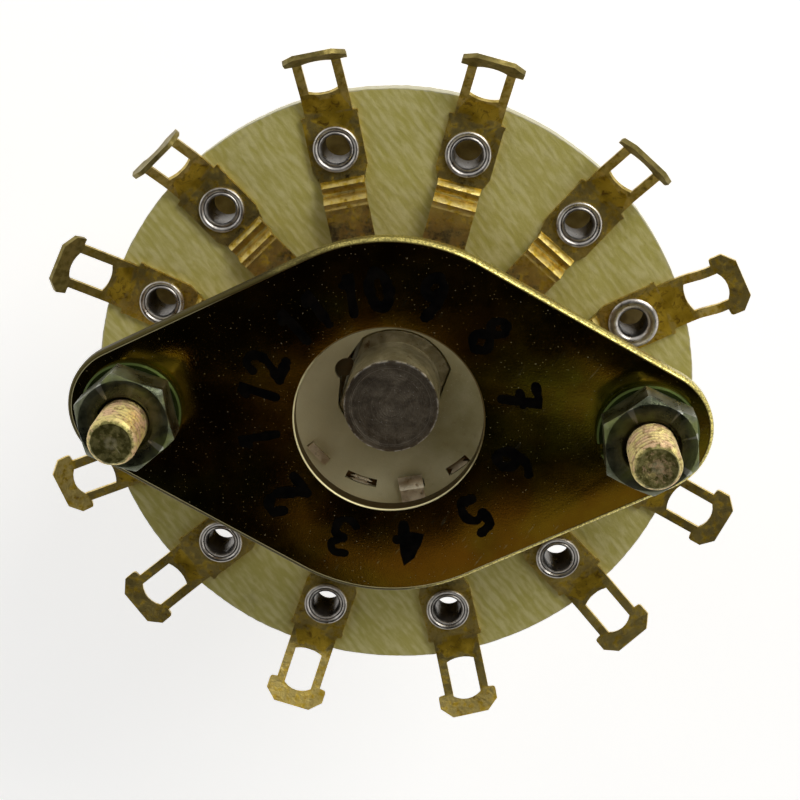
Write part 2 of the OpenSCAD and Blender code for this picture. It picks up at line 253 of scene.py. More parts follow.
def helix(bm, r_out, depth, pitch, z_low, z_top, limit, segments, centre=(0, 0)):
    """Outside thread whose rows follow the helix. limit(z) caps the radius near the ends."""
    steps = 10
    rows = int((z_top - z_low) / pitch * steps) + steps + 2
    grid = []
    for j in range(-steps, rows):
        phase = abs((j % steps) / steps - 0.5) * 2
        r_row = r_out - depth * min(1, max(0, 1.25 * (1 - phase) - 0.125))
        row = []
        for i in range(segments):
            z = min(z_top, max(z_low, z_low + pitch * (j / steps + i / segments)))
            row.append(polar(bm, min(r_row, limit(z)), TAU * i / segments, z, centre))
        grid.append(row)
    for j, row in enumerate(grid[:-1]):
        for i in range(segments):
            if i + 1 < segments:
                bm.faces.new((row[i], row[i + 1], grid[j + 1][i + 1], grid[j + 1][i]))
            elif j + 1 + steps < len(grid):
                bm.faces.new((row[i], grid[j + steps][0], grid[j + 1 + steps][0], grid[j + 1][i]))


def weld(bm):
    near = 0.002
    bmesh.ops.remove_doubles(bm, verts=bm.verts, dist=near)
    bmesh.ops.dissolve_degenerate(bm, edges=bm.edges, dist=near)
    face_out(bm)


def add(name, data):
    obj = bpy.data.objects.new(name, data)
    scene.collection.objects.link(obj)
    return obj


def place(name, bm, material, node=None, body="root"):
    mesh = bpy.data.meshes.new(name)
    bm.to_mesh(mesh)
    bm.free()
    mesh.transform(Matrix.Scale(MM, 4))
    mesh.polygons.foreach_set("use_smooth", [abs(p.normal.z) < 0.9999 for p in mesh.polygons])
    mesh.set_sharp_from_angle(angle=radians(32))
    mesh.materials.append(material)
    obj = add(name, mesh)
    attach(obj, body)
    if node:
        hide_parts(node)
    return obj


def round_edges(obj, width, angle=35):
    bevel = obj.modifiers.new("edges", "BEVEL")
    bevel.width = width * MM
    bevel.segments = 2
    bevel.limit_method = "ANGLE"
    bevel.angle_limit = radians(angle)
    bevel.harden_normals = True


# ---- Material helpers ----

class Graph:
    """Makes and links the nodes of a tree; an input takes a constant or another node's output."""

    def __init__(self, tree):
        self.tree = tree

    def link(self, value, socket):
        if isinstance(value, bpy.types.NodeSocket):
            self.tree.links.new(value, socket)
        elif socket.type == "RGBA":
            tone = value if isinstance(value, (tuple, list)) else (value, value, value)
            socket.default_value = (*tone, 1)
        else:
            socket.default_value = value

    def node(self, kind, inputs=(), **attributes):
        made = self.tree.nodes.new(kind)
        for key, value in attributes.items():
            setattr(made, key, value)
        for key, value in dict(inputs).items():
            self.link(value, made.inputs[key])
        return made

    def vector(self, operation, a, b=None, **inputs):
        made = self.node("ShaderNodeVectorMath", inputs, operation=operation)
        self.link(a, made.inputs[0])
        if b is not None:
            self.link(b, made.inputs[1])
        return made.outputs["Value" if operation in ("LENGTH", "DOT_PRODUCT") else "Vector"]

    def math(self, operation, a, b):
        return self.node("ShaderNodeMath", {0: a, 1: b}, operation=operation).outputs[0]

    def times(self, a, b):
        return self.math("MULTIPLY", a, b)

    def plus(self, a, b):
        return self.math("ADD", a, b)

    def span(self, value, a, b, low_out=0.0, high_out=1.0):
        """Value from a to b taken smoothly to low_out..high_out."""
        inputs = {"Value": value, "From Min": a, "From Max": b, "To Min": low_out, "To Max": high_out}
        return self.node("ShaderNodeMapRange", inputs, interpolation_type="SMOOTHSTEP").outputs[0]


class Look(Graph):
    """A procedural material. Its coordinates are the row frame's, in millimetres."""

    def __init__(self, name, **sockets):
        self.material = bpy.data.materials.new(name)
        self.material.use_nodes = True
        super().__init__(self.material.node_tree)
        self.shader = self.tree.nodes["Principled BSDF"]
        self.colour = None
        self.set(**sockets)
        coords = self.node("ShaderNodeTexCoord").outputs["Object"]
        self.mm = self.vector("SCALE", coords, Scale=1 / MM)

    def set(self, **sockets):
        for key, value in sockets.items():
            self.link(value, self.shader.inputs[key.replace("_", " ")])

    def mix(self, fac, a, b):
        made = self.node("ShaderNodeMix", data_type="RGBA")
        self.link(fac, made.inputs["Factor"])
        self.link(a, made.inputs["A"])
        self.link(b, made.inputs["B"])
        return made.outputs["Result"]

    def noise(self, size, detail=3.0, roughness=0.55, distortion=0.0, at=None):
        inputs = {"Vector": self.mm if at is None else at, "Scale": 1 / size, "Detail": detail,
                  "Roughness": roughness, "Distortion": distortion}
        return self.node("ShaderNodeTexNoise", inputs).outputs["Fac"]

    def spots(self, noise_inputs, start, end, low_out=0.0, high_out=1.0):
        """Noise taken smoothly from low_out under start to high_out over end."""
        return self.span(self.noise(*noise_inputs), start, end, low_out, high_out)

    def coat(self, mask, tone):
        """Another tone over the base colour where the mask is 1."""
        self.colour = self.mix(mask, self.colour, tone)

    def patches(self, tone, noise_inputs, start, end, amount):
        self.coat(self.spots(noise_inputs, start, end, 0, amount), tone)

    def stretched(self, scale, turn=0.0):
        """Coordinates turned about Z, then scaled, for streaks; a small scale makes them long."""
        inputs = {"Vector": self.mm, "Angle": radians(turn)}
        turned = self.node("ShaderNodeVectorRotate", inputs, rotation_type="Z_AXIS").outputs[0]
        return self.vector("MULTIPLY", turned, scale)

    def bands(self, size, distortion, at):
        inputs = {"Vector": at, "Scale": 0.314 / size, "Distortion": distortion, "Detail": 2.0,
                  "Detail Scale": 1.5}
        return self.node("ShaderNodeTexWave", inputs).outputs["Fac"]

    def from_axis(self):
        """Distance from the switch's axis."""
        flat = self.vector("MULTIPLY", self.mm, (1, 1, 0))
        return self.vector("LENGTH", flat)

    def height(self):
        return self.node("ShaderNodeSeparateXYZ", {0: self.mm}).outputs["Z"]

    def painted(self, layer, output="Fac"):
        """A value that the mesh carries in its vertices."""
        return self.node("ShaderNodeAttribute", attribute_name=layer).outputs[output]

    def edges(self, a, b):
        """1 on outside edges, from the mesh's pointiness."""
        point = self.node("ShaderNodeNewGeometry").outputs["Pointiness"]
        return self.span(point, a, b)

    def finish(self, rough, normal):
        self.set(Base_Color=self.colour, Roughness=rough, Normal=normal)
        return self.material

    def cloudy_finish(self, cloud, rough, normal):
        """Finished with a roughness between two values, which follows the cloud."""
        return self.finish(self.span(cloud, 0.3, 0.7, *rough), normal)

    def grain(self, size, depth, over=None):
        """Relief of a fine grain."""
        return self.bump(self.noise(size, 4, 0.65), depth, over)

    def bump(self, height, depth, over=None):
        inputs = {"Height": height, "Distance": depth * MM, "Strength": 1.0}
        if over is not None:
            inputs["Normal"] = over
        return self.node("ShaderNodeBump", inputs).outputs[0]


# ---- Materials ----

def clouded_metal(name, size, dark, light, edge=0.35):
    """A metal whose base colour wanders between two tones in clouds of a size."""
    look = Look(name, Metallic=1.0)
    cloud = look.noise(size, 4, 0.6)
    look.colour = look.mix(look.span(cloud, edge, 1 - edge), dark, light)
    return look, cloud


def worn_rim(look):
    """Painted highlight and painted shade on a cut sheet's rounded edges: the mask of the outline's
    painted highlight, and the edges' colour, the outline's and the holes'.
    """
    # Painted highlight on the outline, strongest on its upper-right side and broken up by specks;
    # elsewhere the outline gets a dark tone as painted shade.
    side = look.vector("DOT_PRODUCT", look.mm, (0.9, 0.35, 0))
    side = look.plus(side, look.times(look.noise(2.5, 4, 0.65), 14))
    grit = look.spots((0.12, 3, 0.6), 0.42, 0.58, 0.35, 1)
    highlight_and_wear = look.times(look.span(side, 2, 12), grit)
    outline = look.mix(highlight_and_wear, (0.08, 0.065, 0.02), (0.82, 0.70, 0.22))
    # Painted highlight on the window's top edge at its lower-left side; the rest of the window's edge
    # gets a dark tone as painted shade.
    lower = look.vector("DOT_PRODUCT", look.mm, (-0.5, -0.85, 0))
    lower = look.plus(lower, look.times(look.noise(1.2, 3), 8))
    on_top = look.span(look.height(), PLATE_TOP - 0.12, PLATE_TOP - 0.04)
    lower = look.times(look.span(lower, 1, 8), on_top)
    window = look.mix(lower, (0.13, 0.09, 0.035), (0.86, 0.78, 0.45))
    return highlight_and_wear, look.mix(look.span(look.painted("rim"), 0.6, 0.9), window, outline)


def chromate_look():
    """Yellow-chromated zinc on the steel plates: glossy, with rainbow tints, specks and scratches, and
    painted highlight and painted shade on its rounded edges.
    """
    look = Look("chromate", Metallic=1.0)
    tint = look.spots((7, 2, 0.5, 0.6), 0.38, 0.62)
    look.colour = look.mix(tint, (0.56, 0.38, 0.035), (0.50, 0.25, 0.025))
    look.patches((0.33, 0.38, 0.04), (9, 2), 0.52, 0.66, 0.7)
    look.patches((0.34, 0.15, 0.02), (2.2, 4, 0.6), 0.35, 0.75, 0.5)
    speck = look.spots((0.14, 2, 0.5), 0.695, 0.76)
    lines = look.noise(1, 2, 0.5, 0.4, at=look.stretched((6, 0.5, 1), 35))
    look.coat(look.span(lines, 0.70, 0.74, 0, 0.7), (0.75, 0.70, 0.52))
    look.coat(speck, (0.18, 0.17, 0.135))
    haze = look.spots((3.5, 5, 0.65), 0.3, 0.7, 0.11, 0.19)
    rough = look.plus(haze, look.times(speck, 0.3))
    look.set(Metallic=look.span(speck, 0, 1, 1, 0.3))
    # The rounded edges take the painted highlight and painted shade, and are smoother where the painted
    # highlight lies.
    highlight_and_wear, edge = worn_rim(look)
    on_rim = look.span(look.painted("rim"), 0.1, 0.4)
    look.coat(on_rim, edge)
    rough = look.mix(on_rim, rough, look.span(highlight_and_wear, 0, 1, 0.5, 0.3))
    return look.finish(rough, look.grain(0.12, 0.005, look.bump(look.noise(5, 2), 0.03)))


def ink_look():
    """Black marker ink, a little uneven."""
    look = Look("marker_ink", IOR=1.12)
    thin = look.spots((0.7, 3), 0.3, 0.8)
    look.colour = look.mix(thin, (0.001, 0.001, 0.001), (0.004, 0.003, 0.002))
    return look.cloudy_finish(look.noise(0.4), (0.28, 0.5), look.bump(look.noise(0.2), 0.01))


def laminate_look():
    """Glass-fibre laminate: the weave shows as slanting streaks, the rim is chipped."""
    look = Look("glass_fibre_laminate", IOR=1.5)
    warp = look.noise(0.36, 3, 0.55, 0.4, at=look.stretched((1, 0.26, 1), -40))
    ribs = look.bands(0.5, 4.0, look.stretched((1, 0.5, 1), -40))
    weft = look.noise(0.5, 2, 0.5, at=look.stretched((0.3, 1, 1), -40))
    weave = look.plus(look.times(warp, 0.88), look.times(ribs, 0.12))
    weave = look.plus(weave, look.times(weft, 0.15))
    body = look.mix(look.noise(6, 3), (0.46, 0.41, 0.085), (0.56, 0.50, 0.15))
    look.colour = look.mix(look.span(weave, 0.42, 0.78, 0, 0.6), body, (0.76, 0.70, 0.36))
    look.patches((0.22, 0.17, 0.05), (2.5, 4, 0.65), 0.58, 0.78, 0.3)
    rim = look.span(look.from_axis(), WAFER_R - 0.3, WAFER_R - 0.03)
    chips = look.span(look.plus(rim, look.noise(0.35, 3)), 1.15, 1.45, 0, 0.7)
    look.coat(chips, (0.56, 0.53, 0.38))
    relief = look.bump(weave, 0.03, look.bump(look.noise(0.2, 4), 0.025))
    return look.finish(look.span(weave, 0, 1, 0.55, 0.36), relief)


def brass_look():
    """Tarnished contact brass with bright wear on its edges; painted highlights on the bends and ridges
    of a strip, painted shade on the tails and heads of the upper contacts.
    """
    look = Look("contact_brass", Metallic=1.0)
    strip = look.painted("strip", "Vector")
    parts = look.node("ShaderNodeSeparateXYZ", {0: strip})
    along = parts.outputs["X"]
    painted_shade = parts.outputs["Y"]
    painted_highlight = parts.outputs["Z"]
    cloud = look.noise(1.3, 4, 0.6)
    look.colour = look.mix(look.span(cloud, 0.35, 0.65), (0.52, 0.34, 0.026), (0.66, 0.46, 0.05))
    look.patches((0.14, 0.065, 0.014), (0.5, 5, 0.7, 0.8), 0.50, 0.68, 0.8)
    # Painted shade over the tails and heads of the upper contacts.
    look.coat(look.times(painted_shade, 0.9), (0.13, 0.11, 0.04))
    flux = look.times(look.span(along, -1.3, -1.9), look.span(along, -2.4, -2.0))
    flux = look.times(flux, look.spots((0.5, 3), 0.32, 0.5))
    look.coat(flux, (0.04, 0.03, 0.012))
    smudge = look.times(look.span(along, -4.2, -4.8), look.span(along, -6.4, -5.8))
    smudge = look.times(smudge, look.spots((0.7, 3), 0.38, 0.5, 0, 0.85))
    look.coat(smudge, (0.05, 0.05, 0.045))
    # Painted highlight on the ridges and folds, with bright wear on the edges; weaker where the painted
    # shade lies.
    highlight_and_wear = look.math("MAXIMUM", painted_highlight, look.times(look.edges(0.52, 0.6), 0.7))
    highlight_and_wear = look.times(highlight_and_wear, look.spots((0.4, 3), 0.3, 0.6))
    highlight_and_wear = look.times(highlight_and_wear, look.span(painted_shade, 0, 1, 1, 0.25))
    look.coat(highlight_and_wear, (0.84, 0.68, 0.26))
    rough = look.mix(highlight_and_wear, look.span(cloud, 0.3, 0.7, 0.44, 0.6), 0.3)
    return look.finish(rough, look.grain(0.18, 0.02, look.bump(look.noise(1.2, 2), 0.05)))


def tin_look():
    """Tinned eyelets: grey, bright where the roll turns, darkened in the groove, at the foot of the
    roll and in the bore by painted shade mixed with grime.
    """
    look, cloud = clouded_metal("tinned", 0.6, (0.44, 0.41, 0.37), (0.66, 0.63, 0.59), edge=0.3)
    look.patches((0.20, 0.15, 0.11), (0.35, 3), 0.6, 0.75, 0.6)
    # Painted shade mixed with grime: groove, foot of the roll and bore.
    look.coat(look.times(look.painted("grime_and_shade"), 0.88), (0.035, 0.025, 0.018))
    return look.cloudy_finish(cloud, (0.26, 0.4), look.bump(look.noise(0.2, 4), 0.015))


def nickel_look():
    """Nickel-plated turned brass: bushing and panel nut."""
    look, cloud = clouded_metal("nickel", 1.6, (0.50, 0.48, 0.43), (0.66, 0.64, 0.58), edge=0.3)
    look.patches((0.30, 0.26, 0.18), (0.5, 4), 0.6, 0.72, 0.5)
    return look.cloudy_finish(cloud, (0.2, 0.36), look.bump(look.noise(0.2, 3), 0.006))


def shaft_look():
    """Turned steel: rings and rubbed patches on the end face, a painted highlight round its rim, fine
    lines round the sides.
    """
    look = Look("turned_steel", Metallic=1.0)
    radius = look.from_axis()
    rings = look.noise(1, 3, 0.6, at=look.node(
        "ShaderNodeCombineXYZ", {"X": look.times(radius, 9.0)}).outputs[0])
    is_end = look.span(look.height(), SHAFT_END - 0.3, SHAFT_END - 0.1)
    cloud = look.noise(1.1, 6, 0.7, 0.5)
    end = look.mix(look.span(cloud, 0.35, 0.75), (0.17, 0.14, 0.105), (0.28, 0.24, 0.18))
    turned = look.times(look.span(rings, 0.56, 0.66), look.span(radius, 1.9, 2.4, 0.15, 0.6))
    end = look.mix(turned, end, (0.42, 0.36, 0.28))
    side = look.mix(look.span(cloud, 0.35, 0.7), (0.34, 0.305, 0.20), (0.54, 0.50, 0.35))
    side = look.mix(look.spots((0.6, 4, 0.6), 0.62, 0.72, 0, 0.8), side, (0.14, 0.085, 0.03))
    look.colour = look.mix(is_end, side, end)
    # Painted highlight: a pale broken line round the end face's rim.
    rim_highlight = look.times(look.span(radius, SHAFT_R - 0.14, SHAFT_R - 0.06), is_end)
    rim_highlight = look.times(rim_highlight, look.spots((0.5, 3), 0.42, 0.6))
    look.coat(rim_highlight, (0.75, 0.72, 0.66))
    look.coat(look.times(look.spots((0.14, 2), 0.70, 0.76), 0.7), (0.6, 0.56, 0.5))
    turning = look.noise(1, 3, 0.6, at=look.stretched((0.2, 0.2, 7)))
    relief = look.mix(is_end, turning, rings)
    return look.cloudy_finish(cloud, (0.38, 0.55), look.bump(relief, 0.03, look.grain(0.14, 0.035)))


def ivory_look():
    """Ivory moulding of the rotor, a little cloudy and darker towards the middle, in tones darkened as
    painted shade, with painted light on its left side and painted shade in its recesses.
    """
    look = Look("ivory_moulding", IOR=1.5)
    cloud = look.noise(3.5, 4, 0.55)
    # Base tones darker than the ivory's own, as painted shade.
    look.colour = look.mix(look.span(cloud, 0.3, 0.7), (0.33, 0.30, 0.15), (0.50, 0.47, 0.29))
    look.coat(look.span(look.from_axis(), 5.2, 3.2, 0, 0.4), (0.24, 0.20, 0.09))
    look.patches((0.25, 0.21, 0.11), (0.4, 3), 0.60, 0.75, 0.4)
    # Painted light: lighter towards the left side.
    across = look.vector("DOT_PRODUCT", look.mm, (1, 0.2, 0))
    look.coat(look.span(across, -6, 4, 0.6, 0), (0.78, 0.73, 0.47))
    look.patches((0.70, 0.66, 0.48), (0.13, 2), 0.66, 0.74, 0.5)
    # Painted shade in the recesses: the slots and the notch's bottom.
    recess_shade = look.span(look.height(), ROTOR_TOP - 0.12, ROTOR_TOP - 0.5, 0, 0.9)
    look.coat(recess_shade, (0.09, 0.055, 0.02))
    waves = look.bump(look.noise(4, 2), 0.05)
    return look.cloudy_finish(cloud, (0.34, 0.5), look.grain(0.16, 0.02, waves))


def dark_zinc_look():
    """Dark passivated zinc of the nuts, rubbed to grey metal on the edges."""
    look, cloud = clouded_metal("dark_zinc", 1.1, (0.055, 0.065, 0.035), (0.125, 0.13, 0.075))
    look.patches((0.18, 0.21, 0.05), (2.2, 2), 0.52, 0.66, 0.6)
    look.coat(look.times(look.edges(0.52, 0.6), 0.6), (0.55, 0.56, 0.5))
    dents = look.bump(look.noise(0.9, 2), 0.04)
    return look.cloudy_finish(cloud, (0.24, 0.4), look.grain(0.16, 0.03, dents))


def washer_look():
    """Spring washer: brown-black chromate, greenish where its edge is round."""
    look, cloud = clouded_metal("chromated_washer", 1.0, (0.07, 0.055, 0.02), (0.12, 0.10, 0.035))
    look.coat(look.edges(0.505, 0.55), (0.055, 0.075, 0.02))
    return look.cloudy_finish(cloud, (0.3, 0.45), look.grain(0.16, 0.025))


def screw_look():
    """Yellow-passivated screw: copper and gold thread, olive end face."""
    look = Look("passivated_screw", Metallic=1.0)
    cloud = look.noise(0.9, 4, 0.6, 0.4)
    look.colour = look.mix(look.span(cloud, 0.4, 0.6), (0.74, 0.62, 0.24), (0.70, 0.48, 0.28))
    look.patches((0.26, 0.17, 0.07), (0.3, 4), 0.5, 0.66, 0.8)
    worn_z = look.plus(look.height(), look.times(look.noise(0.3, 4, 0.65), 0.5))
    at_end = look.span(worn_z, SCREW_END + 0.05, SCREW_END + 0.2)
    olive = look.mix(look.spots((0.35, 4), 0.4, 0.62), (0.12, 0.11, 0.03), (0.30, 0.27, 0.10))
    flat = look.vector("MULTIPLY", look.vector("ABSOLUTE", look.mm), (1, 1, 0))
    radius = look.vector("LENGTH", look.vector("SUBTRACT", flat, (SCREW_X, 0, 0)))
    groove = look.span(radius, SCREW_R - 0.02, SCREW_R - 0.2, 0, 0.85)
    groove = look.times(groove, look.span(look.height(), SCREW_END - 0.3, SCREW_END - 0.5))
    look.coat(groove, (0.15, 0.075, 0.035))
    look.coat(at_end, olive)
    look.coat(look.times(look.edges(0.53, 0.6), 0.4), (0.85, 0.76, 0.48))
    return look.cloudy_finish(cloud, (0.34, 0.5), look.grain(0.14, 0.045))


def blade_look():
    """Silver-plated blade and its bent tabs, tarnished brown, with painted shade where they sink below
    the rotor's face.
    """
    look, cloud = clouded_metal("plated_blade", 0.9, (0.62, 0.54, 0.38), (0.82, 0.74, 0.56))
    look.patches((0.22, 0.15, 0.06), (0.5, 4), 0.56, 0.7, 0.7)
    # Painted shade on the parts below the rotor's face.
    recess_shade = look.span(look.height(), ROTOR_TOP - 0.02, ROTOR_TOP - 0.25, 0, 0.85)
    look.coat(recess_shade, (0.16, 0.085, 0.03))
    return look.cloudy_finish(cloud, (0.38, 0.55), look.grain(0.16, 0.025))


def cover_look():
    """Chromate of the inner cover plate, darkened to a dull brown as painted shade."""
    look, cloud = clouded_metal("shaded_chromate", 1.5, (0.12, 0.085, 0.04), (0.20, 0.15, 0.07))
    return look.cloudy_finish(cloud, (0.34, 0.5), look.bump(look.noise(0.25, 4), 0.015))


def bakelite_look():
    """Brown-black moulded phenolic of the index housing, satin with fine specks."""
    look = Look("phenolic_moulding", IOR=1.55)
    cloud = look.noise(4, 4, 0.6)
    look.colour = look.mix(cloud, (0.030, 0.018, 0.012), (0.055, 0.032, 0.020))
    look.patches((0.12, 0.075, 0.045), (0.3, 3), 0.64, 0.74, 0.6)
    return look.cloudy_finish(cloud, (0.3, 0.45), look.bump(look.noise(0.35, 4), 0.015))


def laminate_wheel_look():
    """Brown paper laminate of the detent wheel, with its layers."""
    look = Look("paper_laminate", IOR=1.5)
    layers = look.noise(1, 3, 0.5, at=look.stretched((0.4, 0.4, 6)))
    look.colour = look.mix(layers, (0.20, 0.10, 0.04), (0.36, 0.20, 0.09))
    return look.cloudy_finish(look.noise(1.5), (0.4, 0.55), look.bump(layers, 0.02))


def steel_look(name, dark, light, rough):
    """Bright or drawn steel with drawing lines, for balls, springs, clip, washer and sleeves."""
    look = Look(name, Metallic=1.0)
    drawn = look.noise(1, 3, 0.6, at=look.stretched((5, 5, 0.5)))
    cloud = look.noise(1.8, 3)
    look.colour = look.mix(look.times(drawn, cloud), dark, light)
    return look.cloudy_finish(cloud, (rough, rough + 0.12), look.bump(drawn, 0.006))


# ---- Rear plate, ink ----

def lozenge(mid_r, end_r, x, steps):
    """Outline of a plate: round middle and round ends joined by tangent sides."""
    lean = degrees(asin((mid_r - end_r) / x))
    points = arc(x, 0, end_r, lean - 90, 90 - lean, steps)
    points += arc(0, 0, mid_r, 90 - lean, 90 + lean, steps * 2)
    points += arc(-x, 0, end_r, 90 + lean, 270 - lean, steps)
    return points + arc(0, 0, mid_r, 270 - lean, 270 + lean, steps * 2)


def rear_plate(material):
    loops = [lozenge(PLATE_Y, PLATE_END_R, SCREW_X, 28), circle(0, 0, WINDOW_R, 120)]
    loops += [circle(side * SCREW_X, 0, SCREW_HOLE_R, 32) for side in (-1, 1)]
    bm = cut_sheet(loops, PLATE_LOW, PLATE_TOP, [0.3, 0.13])
    place("plate_rear", bm, material, "rear_plate")


# Hand-drawn digits as strokes in a box of 1 by 1; a stroke marked True is drawn smooth
DIGITS = {
    "0": [(True, [(0.5, 1), (0.12, 0.7), (0.16, 0.2), (0.5, 0), (0.86, 0.3), (0.82, 0.8), (0.45, 1)])],
    "1": [(False, [(0.3, 0.76), (0.58, 1), (0.52, 0)])],
    "2": [(True, [(0.1, 0.78), (0.35, 1), (0.75, 0.92), (0.8, 0.62), (0.4, 0.25), (0.1, 0.04)]),
          (False, [(0.1, 0.04), (0.95, 0.02)])],
    "3": [(True, [(0.1, 0.95), (0.6, 1), (0.82, 0.78), (0.4, 0.54)]),
          (True, [(0.4, 0.54), (0.85, 0.45), (0.85, 0.12), (0.45, 0), (0.1, 0.1)])],
    "4": [(False, [(0.66, 0), (0.7, 1), (0.05, 0.34), (0.98, 0.36)])],
    "5": [(False, [(0.88, 0.98), (0.25, 0.95), (0.18, 0.56)]),
          (True, [(0.18, 0.56), (0.65, 0.62), (0.88, 0.35), (0.6, 0.02), (0.1, 0.08)])],
    "6": [(True, [(0.8, 0.98), (0.35, 0.8), (0.12, 0.35), (0.4, 0), (0.85, 0.12), (0.8, 0.42),
                  (0.45, 0.52), (0.15, 0.35)])],
    "7": [(False, [(0.08, 0.95), (0.92, 0.98), (0.4, 0)]), (False, [(0.25, 0.5), (0.85, 0.54)])],
    "8": [(True, [(0.5, 0.54), (0.16, 0.76), (0.45, 1), (0.82, 0.8), (0.5, 0.54), (0.12, 0.24),
                  (0.5, 0), (0.9, 0.22), (0.5, 0.54)])],
    "9": [(True, [(0.84, 0.74), (0.5, 0.5), (0.14, 0.7), (0.42, 1), (0.84, 0.84), (0.8, 0.4),
                  (0.55, 0)])],
}


def ribbon(bm, points, width, z, climb):
    """Flat stroke with round ends along the points; it climbs so that it can cross itself."""
    path = [Vector(p) for p in points]
    rows = []
    for i, p in enumerate(path):
        ahead = path[min(i + 1, len(path) - 1)] - path[max(i - 1, 0)]
        ragged = 1 + 0.5 * noise.noise(Vector((p.x * 2.5, p.y * 2.5, 3)))
        side = Vector((-ahead.y, ahead.x)).normalized() * width / 2 * ragged
        h = z + climb * i / len(path)
        rows.append([bm.verts.new((*(p + side), h)), bm.verts.new((*(p - side), h))])
    for (a, b), (c, d) in zip(rows, rows[1:]):
        bm.faces.new((a, b, d, c))
    for end, inner, h in ((path[-1], path[-2], z + climb), (path[0], path[1], z)):
        heading = degrees(atan2(end.y - inner.y, end.x - inner.x))
        cap = arc(end.x, end.y, width / 2, heading - 90, heading + 90, 6)
        bm.faces.new([bm.verts.new((x, y, h)) for x, y in cap])


def numerals(material):
    """The numbers 1 to 12 written round the window, tops outward."""
    rng = random.Random(4)
    bm = bmesh.new()
    height, width, gap, stroke, middle = 2.4, 1.45, 0.35, 0.58, 8.15
    lift, stroke_lift, climb = 0.006, 0.02, 0.016
    for n in CONTACTS:
        angle = radians(162 + 30 * n + rng.uniform(-2, 2))
        out = Vector((cos(angle), sin(angle)))
        right = Vector((out.y, -out.x))
        text = str(n)
        for k, digit in enumerate(text):
            shift = (k - (len(text) - 1) / 2) * (width + gap)
            lean = rng.uniform(-0.12, 0.12)
            size = rng.uniform(0.92, 1.08)
            for layer, (curved, stroke_points) in enumerate(DIGITS[digit]):
                points = smooth_path(stroke_points) if curved else subdivided(stroke_points)
                placed = []
                for x, y in points:
                    u = (x - 0.5 + lean * (y - 0.5)) * width * size + shift
                    v = (y - 0.5) * height * size
                    placed.append(out * (middle + v) + right * u)
                start_z = PLATE_TOP + lift + stroke_lift * layer
                ribbon(bm, placed, stroke * rng.uniform(0.85, 1.15), start_z, climb)
    face_out(bm)
    for face in bm.faces:
        if face.normal.z < 0:
            face.normal_flip()
    place("numerals", bm, material)


# ---- Wafer ----

def wafer(material):
    """Round laminate board with a slightly ragged rim."""
    rim = []
    for x, y in circle(0, 0, WAFER_R - 0.03, 480):
        fine = noise.noise(Vector((x * 3, y * 3, 0)))
        broad = noise.noise(Vector((x * 0.4, y * 0.4, 5)))
        rough = (fine + broad) * 0.03
        grow = 1 + min(0.03, rough) / WAFER_R
        rim.append((x * grow, y * grow))
    holes = [circle(0, 0, ROTOR_R + 0.2, 96)]
    holes += [circle(side * SCREW_X, 0, SCREW_HOLE_R, 24) for side in (-1, 1)]
    holes += [circle(*eyelet_centre(n), EYELET_HOLE_R, 24) for n in CONTACTS]
    bm = cut_sheet([rim] + holes, WAFER_LOW, WAFER_TOP, [0.06, 0.03])
    place("wafer_board", bm, material, "wafer")


# ---- Contacts ----

# Distances outward from the eyelet along the flat strip
TAIL_START = 2.9
SLOT_START = TAIL_START + 0.75
SLOT_END = SLOT_START + 2.9
FOLD_AT = SLOT_END - 0.5
HEAD_TIP = SLOT_END + 1.05
# How strong the painted highlight on the fingers' ridges is
RIDGE_HIGHLIGHT_LOW = 0.22
RIDGE_HIGHLIGHT = {8: 0.8, 9: 1.0}
# Height of the finger over the wafer at distances inward from the eyelet: ridge, groove, ridge
FINGER_PROFILE = [(0, 0), (2.05, 0), (2.35, 0.4), (2.62, 0.28), (2.95, 0.34), (3.3, 0.9),
                  (3.6, 0.78), (4.9, 0.76), (9, 0.7)]
# Where the painted highlight lies on the finger's ridges, and how far to each side
RIDGES = [(2.35, 0.12), (2.95, 0.1), (3.3, 0.2)]
# Radius at which the fingers end; the common contact's stays on the rotor's ring
FINGER_REACH = 9.6
COMMON_REACH = 8.2
COMMON = 12


def strip_outline(finger_end):
    """Loops of the flat strip: along X outward, eyelet at the origin."""
    finger, body, tail, head = 1.375, 1.75, 1.5, 1.95
    tip = finger_end - EYELET_R
    upper = arc(tip + 0.5, finger - 0.5, 0.5, 180, 90, 4)
    upper += [(-2.35, finger), (-1.9, finger + 0.1), (-1.25, body), (1.95, body), (2.0, body + 0.07),
              (2.2, body + 0.05), (2.24, tail), (FOLD_AT - 0.05, tail)]
    upper += arc(FOLD_AT + 0.17, head - 0.2, 0.2, 180, 90, 3)
    upper += [(HEAD_TIP - 0.7, head), (HEAD_TIP, head - 0.75)]
    lower = [(x, -y) for x, y in reversed(upper)]
    half, inner_r, outer_r = 0.93, 2.2, 1.5
    bow = degrees(asin(half / outer_r))
    slot = arc(SLOT_END - outer_r, 0, outer_r, -bow, bow, 6)
    bow = degrees(asin(half / inner_r))
    slot += arc(SLOT_START + inner_r, 0, inner_r, 180 - bow, 180 + bow, 6)
    return [upper + lower, slot, circle(0, 0, EYELET_HOLE_R, 28)]


def profile_height(table, s):
    for (s0, z0), (s1, z1) in zip(table, table[1:]):
        if s <= s1:
            t = (s - s0) / (s1 - s0)
            return z0 + (z1 - z0) * (3 * t * t - 2 * t ** 3)
    return table[-1][1]


